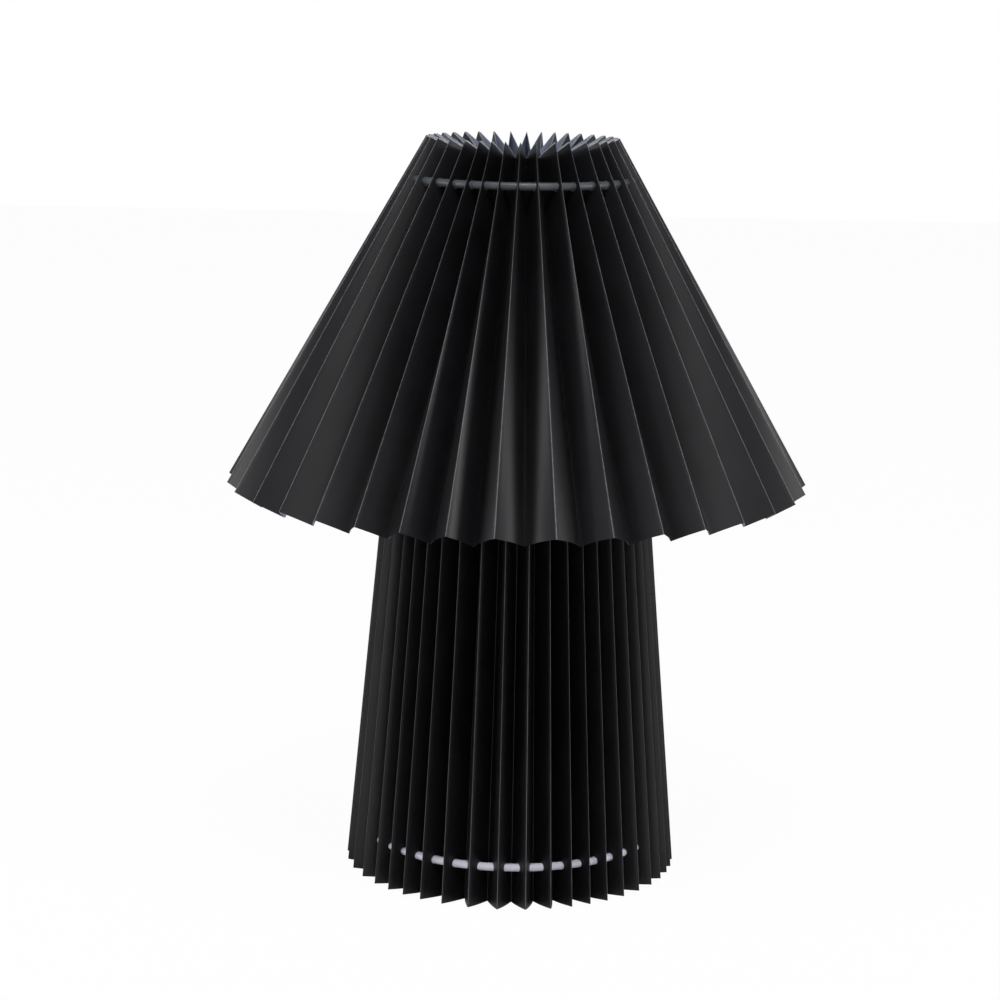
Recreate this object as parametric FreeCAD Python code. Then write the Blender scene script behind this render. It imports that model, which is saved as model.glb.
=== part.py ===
import FreeCAD, Part
import math
import os
from collections import namedtuple

Vector = FreeCAD.Vector

# Pleated paper table lamp. Millimetres, +Z up, origin on the table under the middle of the base.
# Azimuths are degrees about +Z, from the front (-Y) towards +X.

# ---------------------------------------------------------------- driving sizes
PAPER_THICKNESS = 0.4
CLEARANCE = 0.3                # between pieces that are parted by hand
SEAT_GAP = 0.1                 # between a lift-off piece and the seat it rests on
SLIP_FIT = 0.05                # between pieces of one assembly that slip together
UP = Vector(0, 0, 1)

SHADE_PLEATS = 36
SHADE_TOP = 382.6              # height of the outer folds' upper ends
SHADE_RIM_RADIUS = 49.1        # outer folds, upper end
SHADE_HEM_RADIUS = 150.0       # outer folds, lower end
SHADE_PAPER_WIDTH = 203.2      # length of one fold
SHADE_FACE = 18.0              # flat width between two folds
SHADE_TURN = -0.9              # azimuth of the first fold
SHADE_SPREAD = ((2, 1.35, -169.0), (4, 0.75, -94.0), (6, 0.55, -57.0))

BASE_PLEATS = 45
BASE_FOOT_GAP = 2.2            # outer folds' lower ends above the table
BASE_FOOT_RADIUS = 87.2
BASE_NECK_RADIUS = 64.5
BASE_TOP = 257.0
BASE_FACE = 17.1
BASE_TURN = 2.3
BASE_SPREAD = ((2, 2.3, 74.0), (4, 1.1, -3.0), (6, 1.3, 74.0))

RING_WIRE = 4.0                # threaded rings: wire diameter
RING_SIDES = 8                 # facets round the wire
SHADE_RING_DROP = 20.9         # below the shade's top
BASE_RING_HEIGHT = 21.2
PUNCH = 4.8                    # punched hole in the paper
PUNCH_SIDES = 6
PUNCH_REACH = 1.5              # half length of the punch's stroke
RING_JOINT = 0.6               # gap between a ring's butted ends
SHADE_BANDS = 5                # flat strips along each twisted face
BASE_BANDS = 2

FOOT_COUNT = 4
FOOT_RADIUS = 7.0
FOOT_HEIGHT = 3.0
FOOT_CIRCLE = 50.0
FOOT_SIDES = 16
BALLAST_RADIUS = 64.0
BALLAST_HEIGHT = 14.0
BALLAST_STEP = 2.5             # step round the upper edge
BALLAST_RECESS = 13.0          # radius of the recess under the middle
RECESS_DEPTH = 9.0
BUSH_BORE = 3.3
BUSH_WALL = 1.3
BUSH_LENGTH = 9.0
BUSH_FLANGE = 1.4              # how far the flange stands out round the bush
BUSH_FLANGE_LENGTH = 2.0
BUSH_FLANGE_SIDES = 16
BUSH_HEIGHT = 7.4
NOTCH_MARGIN = 1.6             # free space round the bush in the paper

STEM_RADIUS = 5.0              # M10 x 1 all-thread tube
STEM_BORE = 3.6
STEM_FOOT = 4.4
NUT_ACROSS_FLATS = 14.0
NUT_HEIGHT = 4.0
HUB_RADIUS = 9.0
BASE_BLADE = 1.2               # sheet of the base spider's arms
SHADE_BLADE = 0.5              # sheet of the shade spider's arms
HOOK_BACK = 3.0                # metal inside the ring in a hook
HOOK_FLOOR = 2.0               # metal under the ring in a hook
HOOK_RISE = 1.2                # metal inside the ring, above its middle
BASE_LIP = 1.0                 # metal outside the ring in a hook
BASE_LIP_TOP = 1.2             # top of that lip above the ring's middle
SHADE_LIP = 0.2                # the shade's folds leave less room
SHADE_LIP_TOP = -1.4           # so its lip ends below the ring's middle
HUB_COVER = 1.0                # hub above the base ring's wire
ARM_LAP = 1.0                  # how far the base arms start inside the hub
FITTER_LAP = 4.0               # how far the shade arms start inside the fitter ring
ARM_AZIMUTHS = (60.0, 180.0, 300.0)

HOLDER_FOOT = 198.0
HOLDER_BOSS_RADIUS = 8.0
HOLDER_BOSS_HEIGHT = 5.0
HOLDER_RADIUS = 19.9           # M40 skirt, fits the usual 40 mm shade ring
HOLDER_CONE_HEIGHT = 9.0
HOLDER_CAP_HEIGHT = 20.0
HOLDER_HEIGHT = 58.0           # cap and shell together
HOLDER_WALL = 4.6
HOLDER_SIDES = 30              # flats round the holder, its rings and the bulb
CLAMP_RADIUS = 24.5
CLAMP_HEIGHT = 5.0
CLAMP_RISE = 40.0              # lower clamp ring's top above the holder's foot
SCREW_SHELL_WALL = 0.4
SCREW_SHELL_HEIGHT = 19.0
SCREW_SHELL_DROP = 3.0         # below the holder's top
CONTACT_BLOCK = 17.0
CONTACT_BLOCK_HEIGHT = 6.0
CONTACT_WIDTH = 5.0
CONTACT_SHEET = 0.5
CONTACT_INSET = 1.0            # fixed end, in from the block's edge
CONTACT_LENGTH = 4.0           # flat length of the fixed end
CONTACT_PAD = 2.5              # half width of the flat under the bulb's tip

PLATE_SHEET = 1.5              # spreader plate and carrier ring
PLATE_WEB = 6.0                # rim and spokes of the spreader plate
PLATE_WINDOWS = 3
WINDOW_CORNER = 0.33           # share of a window's half width at its middle corners
CARRIER_RING_WIDTH = 6.0
CARRIER_BLADE = 1.5
CARRIER_RAIL = 4.5             # width of the upright rails
RAIL_LAP = 1.0                 # how far the rails' feet start inside the carrier ring
RAIL_GAP = 3.5                 # free space between the bulb and the rails
CARRIER_TOOTH = 1.6
CARRIER_TOOTH_RISE = 5.0
CARRIER_AZIMUTHS = (0.0, 120.0, 240.0)
FITTER_SHEET = 2.0
FITTER_RADIUS = 41.5
FITTER_GAP = 2.6               # free space between the bulb and the fitter ring
FITTER_BELOW_RING = 7.6        # fitter ring's under side below the threaded ring's middle

BULB_RADIUS = 30.0
BULB_LENGTH = 106.0
BULB_CAP_RADIUS = 13.1
BULB_CAP_HEIGHT = 22.0
BULB_INSULATOR_RADIUS = 10.0
BULB_INSULATOR_HEIGHT = 3.0
BULB_TIP_RADIUS = 4.5
BULB_TIP_HEIGHT = 1.5
BULB_NECK_RADIUS = 14.5
BULB_COLLAR_HEIGHT = 34.0
BULB_COLLAR_RADIUS = 26.0
BULB_RISE = 32.0               # tip contact above the holder's foot when screwed home
GLOBE_STEPS = 7                # bands of the globe

# ---------------------------------------------------------------- worked out from them
SHADE_RUN = SHADE_HEM_RADIUS - SHADE_RIM_RADIUS
SHADE_HEM = SHADE_TOP - math.sqrt(SHADE_PAPER_WIDTH ** 2 - SHADE_RUN ** 2)
SHADE_RING_HEIGHT = SHADE_TOP - SHADE_RING_DROP
BALLAST_TOP = FOOT_HEIGHT + BALLAST_HEIGHT
RECESS_ROOF = FOOT_HEIGHT + RECESS_DEPTH
BUSH_RADIUS = BUSH_BORE + BUSH_WALL
HUB_TOP = BASE_RING_HEIGHT + RING_WIRE / 2 + HUB_COVER
CAP_TOP = HOLDER_FOOT + HOLDER_CAP_HEIGHT
HOLDER_TOP = HOLDER_FOOT + HOLDER_HEIGHT
HOLDER_BORE = HOLDER_RADIUS - HOLDER_WALL
PLATE_SEAT = HOLDER_FOOT + CLAMP_RISE
CARRIER_SEAT = PLATE_SEAT + PLATE_SHEET
UPPER_CLAMP_SEAT = CARRIER_SEAT + PLATE_SHEET
FITTER_SEAT = SHADE_RING_HEIGHT - FITTER_BELOW_RING
RAIL_INSIDE = BULB_RADIUS + RAIL_GAP
FITTER_BORE = BULB_RADIUS + FITTER_GAP
BULB_SEAT = HOLDER_FOOT + BULB_RISE
INSULATOR_FOOT = BULB_SEAT + BULB_TIP_HEIGHT
BULB_CAP_FOOT = INSULATOR_FOOT + BULB_INSULATOR_HEIGHT
COLLAR_FOOT = BULB_CAP_FOOT + BULB_CAP_HEIGHT
GLOBE_FOOT = COLLAR_FOOT + BULB_COLLAR_HEIGHT

Sleeve = namedtuple("Sleeve", "pleats turn spread face bands foot_radius foot top_radius top")

SHADE = Sleeve(SHADE_PLEATS, SHADE_TURN, SHADE_SPREAD, SHADE_FACE, SHADE_BANDS,
               SHADE_HEM_RADIUS, SHADE_HEM, SHADE_RIM_RADIUS, SHADE_TOP)
BASE = Sleeve(BASE_PLEATS, BASE_TURN, BASE_SPREAD, BASE_FACE, BASE_BANDS,
              BASE_FOOT_RADIUS, BASE_FOOT_GAP, BASE_NECK_RADIUS, BASE_TOP)


def polar(radius, azimuth, height):
    """Point at a radius and azimuth about the lamp's axis."""
    angle = math.radians(azimuth)
    return Vector(radius * math.sin(angle), -radius * math.cos(angle), height)


def prism(points, lift):
    """Solid from a flat closed outline, pushed along the vector lift."""
    return Part.Face(Part.makePolygon(points + points[:1])).extrude(lift)


def solid_from(faces):
    """Solid from faces that meet edge to edge."""
    shell = Part.makeShell(faces)
    shell.sewShape()
    solid = Part.makeSolid(shell)
    if solid.Volume < 0:
        solid.reverse()
    return solid


def flat(*points):
    """Flat face through its corners."""
    return Part.Face(Part.makePolygon(list(points) + [points[0]]))


def turned(profile, sides):
    """Body round the lamp's axis with flat sides, from closed (radius, height) corners."""
    faces = []
    for (r1, z1), (r2, z2) in zip(profile, profile[1:] + profile[:1]):
        for side in range(sides):
            left = 360.0 * side / sides
            right = 360.0 * (side + 1) / sides
            if r1 and r2:
                faces.append(flat(polar(r1, left, z1), polar(r1, right, z1),
                                  polar(r2, right, z2), polar(r2, left, z2)))
            elif r1 or r2:
                apex = z1 if r2 else z2
                radius, height = (r1, z1) if r1 else (r2, z2)
                faces.append(flat(polar(radius, left, height), polar(radius, right, height),
                                  Vector(0, 0, apex)))
    return solid_from(faces)


def washer(outer, inner, foot, height, sides):
    """Flat-sided ring on the lamp's axis."""
    return turned([(inner, foot), (outer, foot), (outer, foot + height), (inner, foot + height)],
                  sides)


def tube(outer, inner, foot, height):
    """Round tube on the lamp's axis."""
    body = Part.makeCylinder(outer, height, Vector(0, 0, foot))
    return body.cut(Part.makeCylinder(inner, height, Vector(0, 0, foot)))


# ---------------------------------------------------------------- pleated paper
def fold_azimuth(sleeve, index):
    """Azimuth of an outer fold: even steps with a little hand-made unevenness."""
    even = 360.0 * index / sleeve.pleats
    drift = sum(size * math.sin(math.radians(waves * even + phase))
                for waves, size, phase in sleeve.spread)
    return even + sleeve.turn + drift


def slope(sleeve):
    """Radius lost for each millimetre of height."""
    return (sleeve.foot_radius - sleeve.top_radius) / (sleeve.top - sleeve.foot)


def valley_radius(sleeve, ridge_radius, half_pitch):
    """Radius of an inner fold, from the face's fixed width and the pleat's opening."""
    half = math.radians(half_pitch)
    lean = 1 + slope(sleeve) ** 2
    a = math.cos(half) ** 2 * lean + math.sin(half) ** 2
    b = ridge_radius * math.cos(half) * lean
    c = ridge_radius ** 2 * lean - sleeve.face ** 2
    return (b - math.sqrt(b * b - a * c)) / a


def fold_point(sleeve, index, at_top, inside):
    """End of a fold. Even indexes are outer folds, odd ones the inner folds between them."""
    ridge = sleeve.top_radius if at_top else sleeve.foot_radius
    height = sleeve.top if at_top else sleeve.foot
    left = fold_azimuth(sleeve, (index - 1) // 2 if index % 2 else index // 2 - 1)
    right = fold_azimuth(sleeve, (index + 1) // 2 if index % 2 else index // 2 + 1)
    half_pitch = (right - left) / (2.0 if index % 2 else 4.0)
    valley = valley_radius(sleeve, ridge, half_pitch)
    half = math.radians(half_pitch)
    opening = math.atan2(valley * math.sin(half), ridge - valley * math.cos(half))
    if index % 2:
        radius = valley
        azimuth = (left + right) / 2
        mitre = PAPER_THICKNESS / math.sin(opening + half)
    else:
        radius = ridge
        azimuth = fold_azimuth(sleeve, index // 2)
        mitre = PAPER_THICKNESS / math.sin(opening)
    # the paper's edge is cut square to the folds, so inner folds end lower
    height -= (ridge - radius) * slope(sleeve)
    if inside:
        radius -= mitre
    return polar(radius, azimuth, height)


def folds(sleeve, inside):
    """Foot and top of every fold on one side of the paper."""
    return [(fold_point(sleeve, index, False, inside), fold_point(sleeve, index, True, inside))
            for index in range(2 * sleeve.pleats)]


def pleated_paper(sleeve):
    """Folded paper sleeve: one closed sheet of real thickness, each twisted face in flat strips."""
    sides = (folds(sleeve, False), folds(sleeve, True))
    count = 2 * sleeve.pleats
    faces = []
    for index in range(count):
        after = (index + 1) % count
        # the strips' diagonals run from low on the outer fold to high on the inner fold
        ridge, valley = (after, index) if index % 2 else (index, after)
        for side in sides:
            for band in range(sleeve.bands):
                low, high = band / sleeve.bands, (band + 1) / sleeve.bands
                corners = [along_fold(side[ridge], low), along_fold(side[ridge], high),
                           along_fold(side[valley], high), along_fold(side[valley], low)]
                faces.append(flat(corners[0], corners[1], corners[2]))
                faces.append(flat(corners[0], corners[2], corners[3]))
        for end in (0, 1):
            corners = [sides[0][ridge][end], sides[0][valley][end],
                       sides[1][valley][end], sides[1][ridge][end]]
            faces.append(flat(corners[0], corners[1], corners[2]))
            faces.append(flat(corners[0], corners[2], corners[3]))
    return solid_from(faces)


def along_fold(fold, share):
    """Point at a share of a fold's length from its foot."""
    return fold[0] + (fold[1] - fold[0]) * share


def ring_radius(sleeve, height):
    """Middle of the face's depth at a height, for an even pleat."""
    ridge = sleeve.foot_radius - slope(sleeve) * (height - sleeve.foot)
    valley = valley_radius(sleeve, ridge, 180.0 / sleeve.pleats)
    return (ridge + valley + slope(sleeve) * (ridge - valley) * slope(sleeve)) / 2


def crossing(sleeve, index, radius, height):
    """Where the threaded ring goes through the face after fold index, and its direction."""
    ridge = index // 2 if index % 2 == 0 else (index - 1) // 2
    start = polar(radius, fold_azimuth(sleeve, ridge), height)
    end = polar(radius, fold_azimuth(sleeve, ridge + 1), height)
    along = (end - start).normalize()
    outward = Vector(along.y, -along.x, 0)
    near = [fold_point(sleeve, index, at_top, False) for at_top in (False, True)]
    far = [fold_point(sleeve, index + 1, at_top, False) for at_top in (False, True)]

    def on_face(across):
        foot = near[0] + (far[0] - near[0]) * across
        top = near[1] + (far[1] - near[1]) * across
        return foot + (top - foot) * ((height - foot.z) / (top.z - foot.z))

    low, high = (0.0, 1.0) if index % 2 == 0 else (1.0, 0.0)
    for _ in range(30):
        middle = (low + high) / 2
        if (on_face(middle) - start).dot(outward) > 0:
            low = middle
        else:
            high = middle
    return on_face(middle), along


def polygon_bar(centre, along, radius, sides, length):
    """Straight bar with a regular outline, centred on a point."""
    across = Vector(along.y, -along.x, 0) if along.z == 0 else Vector(1, 0, 0)
    across.normalize()
    upward = across.cross(along)
    points = []
    for side in range(sides):
        angle = math.radians(360.0 * (side + 0.5) / sides)
        points.append(centre - along * (length / 2) + across * (radius * math.cos(angle))
                      + upward * (radius * math.sin(angle)))
    return prism(points, along * length)


def punched_paper(sleeve, height):
    """Pleated sleeve with a row of punched holes for its threaded ring."""
    radius = ring_radius(sleeve, height)
    punches = []
    for index in range(2 * sleeve.pleats):
        centre, along = crossing(sleeve, index, radius, height)
        punches.append(polygon_bar(centre, along, PUNCH / 2, PUNCH_SIDES, 2 * PUNCH_REACH))
    return pleated_paper(sleeve).cut(punches)


def threaded_ring(sleeve, height):
    """Open wire ring that bends a little inside each outer fold; its ends butt at the rear."""
    radius = ring_radius(sleeve, height)
    rear = nearest_fold(sleeve, 180.0)
    corners = [polar(radius, fold_azimuth(sleeve, rear + step), height)
               for step in range(sleeve.pleats + 1)]
    start = (corners[1] - corners[0]).normalize()
    finish = (corners[-2] - corners[-1]).normalize()
    corners[0] = corners[0] + start * (RING_JOINT / 2)
    corners[-1] = corners[-1] + finish * (RING_JOINT / 2)
    path = Part.makePolygon(corners)
    across = Vector(start.y, -start.x, 0)
    profile = []
    for side in range(RING_SIDES):
        angle = math.radians(360.0 * (side + 0.5) / RING_SIDES)
        profile.append(corners[0] + across * (RING_WIRE / 2 * math.cos(angle))
                       + UP * (RING_WIRE / 2 * math.sin(angle)))
    section = Part.makePolygon(profile + profile[:1])
    return path.makePipeShell([section], True, False, 1)


def nearest_fold(sleeve, azimuth):
    """Index of the outer fold nearest an azimuth."""
    def away(index):
        return abs((fold_azimuth(sleeve, index) - azimuth + 180.0) % 360.0 - 180.0)
    return min(range(sleeve.pleats), key=away)


# ---------------------------------------------------------------- spiders and plates
def radial_sheet(outline, azimuth, thickness):
    """Flat sheet standing in the radial plane at an azimuth, from (radius, height) corners."""
    angle = math.radians(azimuth)
    across = Vector(math.cos(angle), math.sin(angle), 0)
    points = [polar(radius, azimuth, height) - across * (thickness / 2)
              for radius, height in outline]
    return prism(points, across * thickness)


def hooked_arm(sleeve, azimuth, thickness, ring_height, lip, lip_top, start, foot, top):
    """Spider arm from the radius start out to a hook that carries the threaded ring."""
    index = nearest_fold(sleeve, azimuth)
    ring = ring_radius(sleeve, ring_height)
    room = RING_WIRE / 2 + SLIP_FIT
    floor = ring_height - room
    outline = [
        (start, foot),
        (ring - room - HOOK_BACK, foot),
        (ring - HOOK_BACK / 2, floor - HOOK_FLOOR),
        (ring + room + lip, floor - HOOK_FLOOR),
        (ring + room + lip, ring_height + lip_top),
        (ring + room, ring_height + lip_top),
        (ring + room, floor),
        (ring - room, floor),
        (ring - room, top),
        (start, top),
    ]
    return radial_sheet(outline, fold_azimuth(sleeve, index), thickness)


def base_spider():
    """Hub on the stem with three hooked arms that carry the base sleeve's ring."""
    body = tube(HUB_RADIUS, STEM_RADIUS + SLIP_FIT, BALLAST_TOP, HUB_TOP - BALLAST_TOP)
    for azimuth in ARM_AZIMUTHS:
        body = body.fuse(hooked_arm(BASE, azimuth, BASE_BLADE, BASE_RING_HEIGHT,
                                    BASE_LIP, BASE_LIP_TOP, HUB_RADIUS - ARM_LAP,
                                    BALLAST_TOP, HUB_TOP))
    return body.removeSplitter()


def shade_spider():
    """Fitter ring with three slots and three hooked arms that carry the shade's ring."""
    body = washer(FITTER_RADIUS, FITTER_BORE, FITTER_SEAT, FITTER_SHEET, SHADE_PLEATS)
    slot_reach = RAIL_INSIDE + CARRIER_TOOTH + CLEARANCE
    for azimuth in CARRIER_AZIMUTHS:
        slot = [(BULB_RADIUS, FITTER_SEAT), (slot_reach, FITTER_SEAT),
                (slot_reach, FITTER_SEAT + FITTER_SHEET), (BULB_RADIUS, FITTER_SEAT + FITTER_SHEET)]
        body = body.cut(radial_sheet(slot, azimuth, CARRIER_BLADE + 2 * CLEARANCE))
    arm_foot = FITTER_SEAT + FITTER_SHEET / 2
    arm_top = SHADE_RING_HEIGHT + HOOK_RISE
    for azimuth in ARM_AZIMUTHS:
        body = body.fuse(hooked_arm(SHADE, azimuth, SHADE_BLADE, SHADE_RING_HEIGHT,
                                    SHADE_LIP, SHADE_LIP_TOP, FITTER_RADIUS - FITTER_LAP,
                                    arm_foot, arm_top))
    return body.removeSplitter()


def shade_carrier():
    """Ring clamped on the lamp holder with three rails that carry the shade above the bulb."""
    ring_inside = HOLDER_RADIUS + CLEARANCE
    ring_outside = ring_inside + CARRIER_RING_WIDTH
    body = washer(ring_outside, ring_inside, CARRIER_SEAT, PLATE_SHEET, HOLDER_SIDES)
    seat = FITTER_SEAT - SEAT_GAP
    tooth = RAIL_INSIDE + CARRIER_TOOTH
    rail_outside = RAIL_INSIDE + CARRIER_RAIL
    outline = [
        (ring_outside - RAIL_LAP, CARRIER_SEAT),
        (rail_outside, CARRIER_SEAT),
        (rail_outside, seat),
        (tooth, seat),
        (tooth, seat + CARRIER_TOOTH_RISE),
        (RAIL_INSIDE, seat + CARRIER_TOOTH_RISE),
        (RAIL_INSIDE, CARRIER_SEAT + 2 * CARRIER_RAIL),
        (ring_outside, CARRIER_SEAT + PLATE_SHEET),
        (ring_outside - RAIL_LAP, CARRIER_SEAT + PLATE_SHEET),
    ]
    for azimuth in CARRIER_AZIMUTHS:
        body = body.fuse(radial_sheet(outline, azimuth, CARRIER_BLADE))
    return body.removeSplitter()


def spreader_plate():
    """Plate on the lamp holder, with a corner at each inner fold, that keeps the sleeve round."""
    hole = HOLDER_RADIUS + CLEARANCE
    corners = []
    for index in range(1, 2 * BASE_PLEATS, 2):
        fold = (fold_point(BASE, index, False, True), fold_point(BASE, index, True, True))
        share = (PLATE_SEAT - fold[0].z) / (fold[1].z - fold[0].z)
        corner = along_fold(fold, share)
        corners.append(corner - Vector(corner.x, corner.y, 0).normalize() * CLEARANCE)
    plate = prism([Vector(corner.x, corner.y, PLATE_SEAT) for corner in corners],
                  UP * PLATE_SHEET)
    bore = [polar(hole, 360.0 * side / HOLDER_SIDES, PLATE_SEAT) for side in range(HOLDER_SIDES)]
    plate = plate.cut(prism(bore, UP * PLATE_SHEET))
    least = min(math.hypot(corner.x, corner.y) for corner in corners)
    inside = hole + PLATE_WEB
    outside = least - PLATE_WEB
    reach = 180.0 / PLATE_WINDOWS
    web = math.degrees(PLATE_WEB / 2 / inside)
    for window in range(PLATE_WINDOWS):
        middle = 360.0 * (window + 0.5) / PLATE_WINDOWS
        spread = [middle + (reach - web) * share for share in (-1.0, -WINDOW_CORNER, WINDOW_CORNER, 1.0)]
        outline = [polar(outside, azimuth, PLATE_SEAT) for azimuth in spread]
        outline += [polar(inside, azimuth, PLATE_SEAT) for azimuth in reversed(spread)]
        plate = plate.cut(prism(outline, UP * PLATE_SHEET))
    return plate


# ---------------------------------------------------------------- foot and stem
def ballast_plate():
    """Cast disc with a recess and a cord channel underneath."""
    body = Part.makeCylinder(BALLAST_RADIUS, BALLAST_HEIGHT - BALLAST_STEP,
                             Vector(0, 0, FOOT_HEIGHT))
    body = body.fuse(Part.makeCylinder(BALLAST_RADIUS - BALLAST_STEP, BALLAST_HEIGHT,
                                       Vector(0, 0, FOOT_HEIGHT)))
    body = body.cut(Part.makeCylinder(STEM_RADIUS + SLIP_FIT, BALLAST_TOP))
    body = body.cut(Part.makeCylinder(BALLAST_RECESS, RECESS_DEPTH, Vector(0, 0, FOOT_HEIGHT)))
    half = BUSH_RADIUS + SLIP_FIT
    channel = Part.makeBox(2 * half, BALLAST_RADIUS, RECESS_DEPTH, Vector(-half, 0, FOOT_HEIGHT))
    return body.cut(channel).removeSplitter()


def rubber_feet():
    """Four round feet under the ballast plate."""
    feet = []
    for number in range(FOOT_COUNT):
        centre = polar(FOOT_CIRCLE, 360.0 * (number + 0.5) / FOOT_COUNT, 0)
        feet.append(polygon_bar(centre + UP * (FOOT_HEIGHT / 2), UP, FOOT_RADIUS, FOOT_SIDES,
                                FOOT_HEIGHT))
    return Part.makeCompound(feet)


def bush_start():
    """Where the bush begins inside the ballast plate's channel."""
    return BALLAST_RADIUS - BUSH_LENGTH


def cord_bush():
    """Flanged bush at the rear end of the cord channel."""
    back = Vector(0, 1, 0)
    centre = Vector(0, bush_start(), BUSH_HEIGHT)
    flange_middle = Vector(0, BALLAST_RADIUS + BUSH_FLANGE_LENGTH / 2, BUSH_HEIGHT)
    body = Part.makeCylinder(BUSH_RADIUS, BUSH_LENGTH + BUSH_FLANGE_LENGTH, centre, back)
    body = body.fuse(polygon_bar(flange_middle, back, BUSH_RADIUS + BUSH_FLANGE,
                                 BUSH_FLANGE_SIDES, BUSH_FLANGE_LENGTH))
    bore = Part.makeCylinder(BUSH_BORE, BUSH_LENGTH + BUSH_FLANGE_LENGTH, centre, back)
    return body.cut(bore).removeSplitter()


def stem_tube():
    """Threaded tube from the ballast plate up into the lamp holder."""
    top = HOLDER_FOOT + HOLDER_CAP_HEIGHT / 2
    return tube(STEM_RADIUS, STEM_BORE, STEM_FOOT, top - STEM_FOOT)


def hexagon_nut(foot):
    """Plain nut on the stem."""
    corner = NUT_ACROSS_FLATS / math.sqrt(3)
    points = [polar(corner, 60.0 * side, foot) for side in range(6)]
    nut = prism(points, UP * NUT_HEIGHT)
    return nut.cut(Part.makeCylinder(STEM_RADIUS + SLIP_FIT, NUT_HEIGHT, Vector(0, 0, foot)))


def stem_nuts():
    """Nuts under the ballast plate, on the spider's hub and under the lamp holder."""
    feet = (RECESS_ROOF - NUT_HEIGHT, HUB_TOP, HOLDER_FOOT - NUT_HEIGHT)
    return Part.makeCompound([hexagon_nut(foot) for foot in feet])


def base_pleats():
    """The base's paper sleeve, with a cut-out at the rear for the cord."""
    sleeve = punched_paper(BASE, BASE_RING_HEIGHT)
    half = BUSH_RADIUS + BUSH_FLANGE + NOTCH_MARGIN
    roof = BUSH_HEIGHT + half
    inside = BALLAST_RADIUS
    box = Part.makeBox(2 * half, BASE_FOOT_RADIUS - inside + NOTCH_MARGIN, roof,
                       Vector(-half, inside, 0))
    return sleeve.cut(box)


# ---------------------------------------------------------------- lamp holder
def holder_cap():
    """Lower half of the lamp holder, screwed on the stem."""
    bore = (STEM_RADIUS + SLIP_FIT) / math.cos(math.pi / HOLDER_SIDES)
    return turned([
        (bore, HOLDER_FOOT),
        (HOLDER_BOSS_RADIUS, HOLDER_FOOT),
        (HOLDER_BOSS_RADIUS, HOLDER_FOOT + HOLDER_BOSS_HEIGHT),
        (HOLDER_RADIUS, HOLDER_FOOT + HOLDER_BOSS_HEIGHT + HOLDER_CONE_HEIGHT),
        (HOLDER_RADIUS, CAP_TOP),
        (bore, CAP_TOP),
    ], HOLDER_SIDES)


def holder_shell():
    """Upper half of the lamp holder with its threaded skirt."""
    return washer(HOLDER_RADIUS, HOLDER_BORE, CAP_TOP, HOLDER_TOP - CAP_TOP, HOLDER_SIDES)


def contact_block():
    """Insulating block that carries the centre contact."""
    half = CONTACT_BLOCK / 2
    return Part.makeBox(2 * half, 2 * half, CONTACT_BLOCK_HEIGHT, Vector(-half, -half, CAP_TOP))


def centre_contact():
    """Bent strip under the bulb's tip."""
    foot = CAP_TOP + CONTACT_BLOCK_HEIGHT
    tip = BULB_SEAT - SEAT_GAP
    start = CONTACT_INSET - CONTACT_BLOCK / 2
    bend = start + CONTACT_LENGTH
    sheet = CONTACT_SHEET
    outline = [(start, foot), (bend, foot), (0, tip - sheet), (CONTACT_PAD, tip - sheet),
               (CONTACT_PAD, tip), (-sheet, tip), (bend - sheet, foot + sheet),
               (start, foot + sheet)]
    points = [Vector(x, -CONTACT_WIDTH / 2, z) for x, z in outline]
    return prism(points, Vector(0, CONTACT_WIDTH, 0))


def screw_shell():
    """Brass sleeve that takes the bulb's cap."""
    outer = HOLDER_BORE - SLIP_FIT
    foot = HOLDER_TOP - SCREW_SHELL_DROP - SCREW_SHELL_HEIGHT
    return washer(outer, outer - SCREW_SHELL_WALL, foot, SCREW_SHELL_HEIGHT, HOLDER_SIDES)


def clamp_ring(foot):
    """Ring screwed on the holder's skirt."""
    return washer(CLAMP_RADIUS, HOLDER_RADIUS + SLIP_FIT, foot, CLAMP_HEIGHT, HOLDER_SIDES)


def clamp_rings():
    """Rings below and above the spreader plate and the carrier."""
    return Part.makeCompound([clamp_ring(PLATE_SEAT - CLAMP_HEIGHT), clamp_ring(UPPER_CLAMP_SEAT)])


# ---------------------------------------------------------------- bulb
def bulb_tip():
    """Centre contact of the bulb."""
    return turned([(0, BULB_SEAT), (BULB_TIP_RADIUS, BULB_SEAT), (BULB_TIP_RADIUS, INSULATOR_FOOT),
                   (0, INSULATOR_FOOT)], HOLDER_SIDES)


def bulb_insulator():
    """Glass insulator between the tip and the cap."""
    return turned([(0, INSULATOR_FOOT), (BULB_TIP_RADIUS, INSULATOR_FOOT),
                   (BULB_INSULATOR_RADIUS, BULB_CAP_FOOT), (0, BULB_CAP_FOOT)], HOLDER_SIDES)


def bulb_cap():
    """Screw cap."""
    return turned([(0, BULB_CAP_FOOT), (BULB_CAP_RADIUS, BULB_CAP_FOOT),
                   (BULB_CAP_RADIUS, COLLAR_FOOT), (0, COLLAR_FOOT)], HOLDER_SIDES)


def bulb_collar():
    """Body that carries the light source, between the cap and the globe."""
    return turned([(0, COLLAR_FOOT), (BULB_NECK_RADIUS, COLLAR_FOOT),
                   (BULB_COLLAR_RADIUS, GLOBE_FOOT), (0, GLOBE_FOOT)], HOLDER_SIDES)


def bulb_globe():
    """Frosted globe on the collar."""
    centre = BULB_SEAT + BULB_LENGTH - BULB_RADIUS
    start = math.asin((GLOBE_FOOT - centre) / BULB_RADIUS)
    profile = [(0, GLOBE_FOOT)]
    for step in range(GLOBE_STEPS):
        angle = start + (math.pi / 2 - start) * step / GLOBE_STEPS
        profile.append((BULB_RADIUS * math.cos(angle), centre + BULB_RADIUS * math.sin(angle)))
    profile.append((0, centre + BULB_RADIUS))
    return turned(profile, HOLDER_SIDES)


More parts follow.
